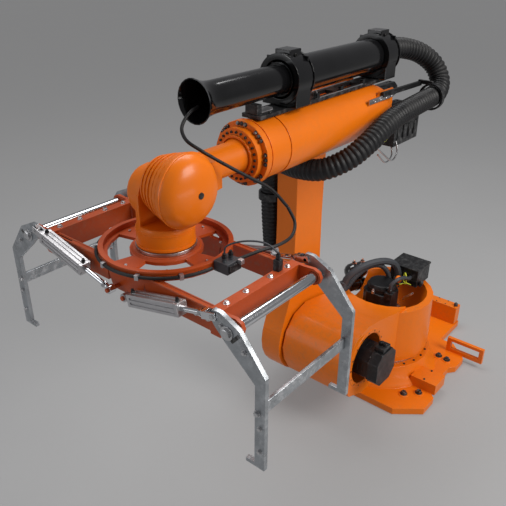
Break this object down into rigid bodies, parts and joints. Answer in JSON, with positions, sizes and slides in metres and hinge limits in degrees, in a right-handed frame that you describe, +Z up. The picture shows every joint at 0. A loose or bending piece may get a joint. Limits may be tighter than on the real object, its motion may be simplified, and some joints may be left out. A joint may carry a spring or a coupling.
{
  "type": "six-axis industrial robot arm with pallet gripper",
  "caption": "Floor-standing articulated industrial robot arm with a hose pack along the forearm, a gas counterbalance and a pneumatic clamp gripper for pallets.",
  "frame": {"origin": "on the floor, on the vertical slewing axis of the column", "axes": "+X forward along the forearm, +Y to the robot's left, +Z up"},
  "size_m": [2.7, 1.277, 2.076],
  "materials": {
    "orange_casting": "satin",
    "orange_shell": "satin",
    "gripper_red": "satin",
    "black_gloss": "gloss",
    "motor_black": "satin",
    "black_bracket": "matte",
    "grey_plastic": "matte",
    "steel": "satin",
    "leg_steel": "satin",
    "chrome": "polished",
    "accumulator_black": "gloss",
    "alloy": "satin",
    "rubber": "matte"
  },
  "bodies": {
    "base": {"base_casting": "orange_casting", "connector_housing": "orange_shell", "axis1_bearing": "steel"},
    "column": {"column_housing": "orange_casting", "axis1_motor": "motor_black", "axis1_gearbox": "steel", "axis2_motor": "motor_black", "axis2_gearbox": "steel", "junction_box": "black_bracket", "conduit": "grey_plastic", "hose_gland": "black_bracket", "hose_lower": "rubber"},
    "counterbalance": {"counterbalance_cylinder": "accumulator_black", "accumulator_rear": "accumulator_black", "accumulator_front": "accumulator_black"},
    "counterbalance_piston": {"counterbalance_rod": "chrome"},
    "link": {"link_arm": "orange_shell", "hose_collar": "black_bracket"},
    "arm": {"arm_housing": "orange_shell", "arm_front_tube": "orange_shell", "axis3_gearbox": "steel", "axis4_motor": "motor_black", "axis5_motor": "motor_black", "axis6_motor": "motor_black", "rear_box": "grey_plastic", "tube_rail": "black_bracket", "tube_clamp_front": "black_bracket", "tube_clamp_rear": "black_bracket", "retraction_tube": "black_gloss", "guide_tube": "black_gloss", "hose_ring": "black_bracket", "hose_upper": "rubber", "tool_cable_1": "rubber"},
    "wrist": {"wrist_yoke": "orange_shell", "tool_cable_2": "rubber"},
    "swivel": {"swivel_housing": "orange_shell", "tool_cable_3": "rubber"},
    "gripper": {"tool_flange": "chrome", "carrier_plate": "gripper_red", "side_frame_left": "gripper_red", "side_frame_right": "gripper_red", "valve_block": "grey_plastic", "rim_cable": "rubber"},
    "clamp_left": {"pivot_shaft_left": "chrome", "cross_bar_left": "leg_steel", "leg_front_left": "leg_steel", "leg_rear_left": "leg_steel"},
    "clamp_right": {"pivot_shaft_right": "chrome", "cross_bar_right": "leg_steel", "leg_front_right": "leg_steel", "leg_rear_right": "leg_steel"},
    "actuator_front_left": {"cylinder_front_left": "alloy"},
    "actuator_head_front_left": {"piston_rod_front_left": "chrome"},
    "actuator_rear_left": {"cylinder_rear_left": "alloy"},
    "actuator_head_rear_left": {"piston_rod_rear_left": "chrome"},
    "actuator_front_right": {"piston_rod_front_right": "chrome"},
    "actuator_head_front_right": {"cylinder_front_right": "alloy"},
    "actuator_rear_right": {"piston_rod_rear_right": "chrome"},
    "actuator_head_rear_right": {"cylinder_rear_right": "alloy"}
  },
  "joints": [
    {"name": "axis_1", "type": "hinge", "parent": "base", "child": "column", "pos_m": [0, 0, 0.3], "axis": [0, 0, 1], "range_deg": [-180, 180]},
    {"name": "axis_2", "type": "hinge", "parent": "column", "child": "link", "pos_m": [0.55, -0.278, 0.415], "axis": [0, 1, 0], "range_deg": [-40, 35], "deforming": ["hose_lower"]},
    {"name": "axis_3", "type": "hinge", "parent": "link", "child": "arm", "pos_m": [0.55, -0.278, 1.765], "axis": [0, -1, 0], "range_deg": [-30, 60], "deforming": ["hose_upper"]},
    {"name": "axis_4", "type": "hinge", "parent": "arm", "child": "wrist", "pos_m": [1.344, 0, 1.724], "axis": [1, 0, 0], "range_deg": [-70, 70], "deforming": ["tool_cable_1"]},
    {"name": "axis_5", "type": "hinge", "parent": "wrist", "child": "swivel", "pos_m": [1.75, 0, 1.724], "axis": [0, -1, 0], "range_deg": [-20, 90], "deforming": ["tool_cable_2"]},
    {"name": "axis_6", "type": "hinge", "parent": "swivel", "child": "gripper", "pos_m": [1.75, 0, 1.509], "axis": [0, 0, -1], "range_deg": [-180, 180], "deforming": ["tool_cable_3"]},
    {"name": "clamp_left", "type": "hinge", "parent": "gripper", "child": "clamp_left", "pos_m": [1.75, 0.497, 1.463], "axis": [1, 0, 0], "range_deg": [0, 30]},
    {"name": "actuator_front_left_swing", "type": "hinge", "parent": "gripper", "child": "actuator_front_left", "pos_m": [1.978, 0.04, 1.4], "axis": [1, 0, 0], "range_deg": [-4.2, 0]},
    {"name": "actuator_front_left_stroke", "type": "slide", "parent": "actuator_front_left", "child": "actuator_head_front_left", "axis": [0, 0.9718, 0.2357], "range_m": [-0.0168, 0]},
    {"name": "actuator_rear_left_swing", "type": "hinge", "parent": "gripper", "child": "actuator_rear_left", "pos_m": [1.522, 0.04, 1.4], "axis": [1, 0, 0], "range_deg": [-4.2, 0]},
    {"name": "actuator_rear_left_stroke", "type": "slide", "parent": "actuator_rear_left", "child": "actuator_head_rear_left", "axis": [0, 0.9718, 0.2357], "range_m": [-0.0168, 0]},
    {"name": "clamp_right", "type": "hinge", "parent": "gripper", "child": "clamp_right", "pos_m": [1.75, -0.497, 1.463], "axis": [-1, 0, 0], "range_deg": [0, 30]},
    {"name": "actuator_front_right_swing", "type": "hinge", "parent": "gripper", "child": "actuator_front_right", "pos_m": [1.978, -0.04, 1.4], "axis": [-1, 0, 0], "range_deg": [-4.2, 0]},
    {"name": "actuator_front_right_stroke", "type": "slide", "parent": "actuator_front_right", "child": "actuator_head_front_right", "axis": [0, -0.9718, 0.2357], "range_m": [-0.0168, 0]},
    {"name": "actuator_rear_right_swing", "type": "hinge", "parent": "gripper", "child": "actuator_rear_right", "pos_m": [1.522, -0.04, 1.4], "axis": [-1, 0, 0], "range_deg": [-4.2, 0]},
    {"name": "actuator_rear_right_stroke", "type": "slide", "parent": "actuator_rear_right", "child": "actuator_head_rear_right", "axis": [0, -0.9718, 0.2357], "range_m": [-0.0168, 0]},
    {"name": "counterbalance_swing", "type": "hinge", "parent": "column", "child": "counterbalance", "pos_m": [-0.18, -0.278, 0.385], "axis": [0, 1, 0], "range_deg": [-2.5, 2.5]},
    {"name": "counterbalance_stroke", "type": "slide", "parent": "counterbalance", "child": "counterbalance_piston", "axis": [0.9628, 0, 0.2704], "range_m": [-0.114, 0.1]}
  ],
  "couplings": [
    {"joint": "actuator_front_left_swing", "follows": "clamp_left", "ratio": -0.1333},
    {"joint": "actuator_front_left_stroke", "follows": "clamp_left", "m_per_rad": -0.0315},
    {"joint": "actuator_rear_left_swing", "follows": "clamp_left", "ratio": -0.1333},
    {"joint": "actuator_rear_left_stroke", "follows": "clamp_left", "m_per_rad": -0.0315},
    {"joint": "actuator_front_right_swing", "follows": "clamp_right", "ratio": -0.1333},
    {"joint": "actuator_front_right_stroke", "follows": "clamp_right", "m_per_rad": -0.0315},
    {"joint": "actuator_rear_right_swing", "follows": "clamp_right", "ratio": -0.1333},
    {"joint": "actuator_rear_right_stroke", "follows": "clamp_right", "m_per_rad": -0.0315},
    {"joint": "counterbalance_swing", "follows": "axis_2", "ratio": 0.05},
    {"joint": "counterbalance_stroke", "follows": "axis_2", "m_per_rad": 0.16}
  ]
}
